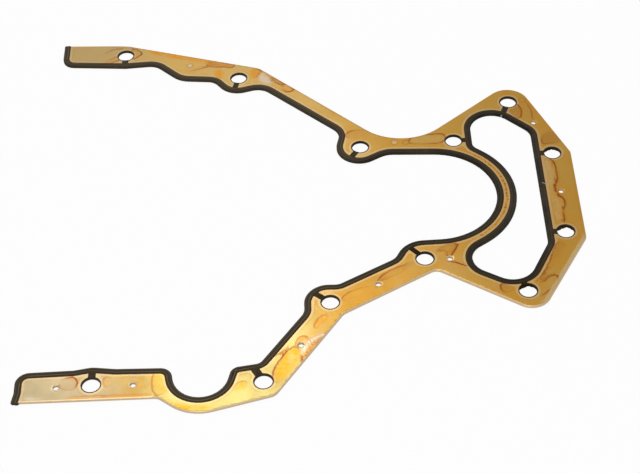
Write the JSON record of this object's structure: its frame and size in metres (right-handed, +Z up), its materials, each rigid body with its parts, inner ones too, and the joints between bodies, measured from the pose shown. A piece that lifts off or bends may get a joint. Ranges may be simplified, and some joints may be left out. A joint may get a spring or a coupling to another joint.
{
  "type": "rear main seal plate gasket",
  "caption": "U-shaped edge-moulded sheet-metal gasket with two long legs, a round shaft arch, a closed crescent window and black rubber beads on the inner edges.",
  "frame": {"origin": "centre of the round arch, in the plane that the seal's underside rests on", "axes": "+X from the arch towards the crescent window, +Y towards the leg with the stepped inner edge, +Z up through the sheet's thickness, away from the block"},
  "size_m": [0.2906, 0.2827, 0.0025],
  "materials": {
    "carrier": "gold lacquer, satin, stained",
    "seal_rubber": "moulded, satin"
  },
  "bodies": {
    "root": {"carrier_plate": "carrier", "crankcase_seal": "seal_rubber", "gallery_seal": "seal_rubber"}
  },
  "joints": []
}
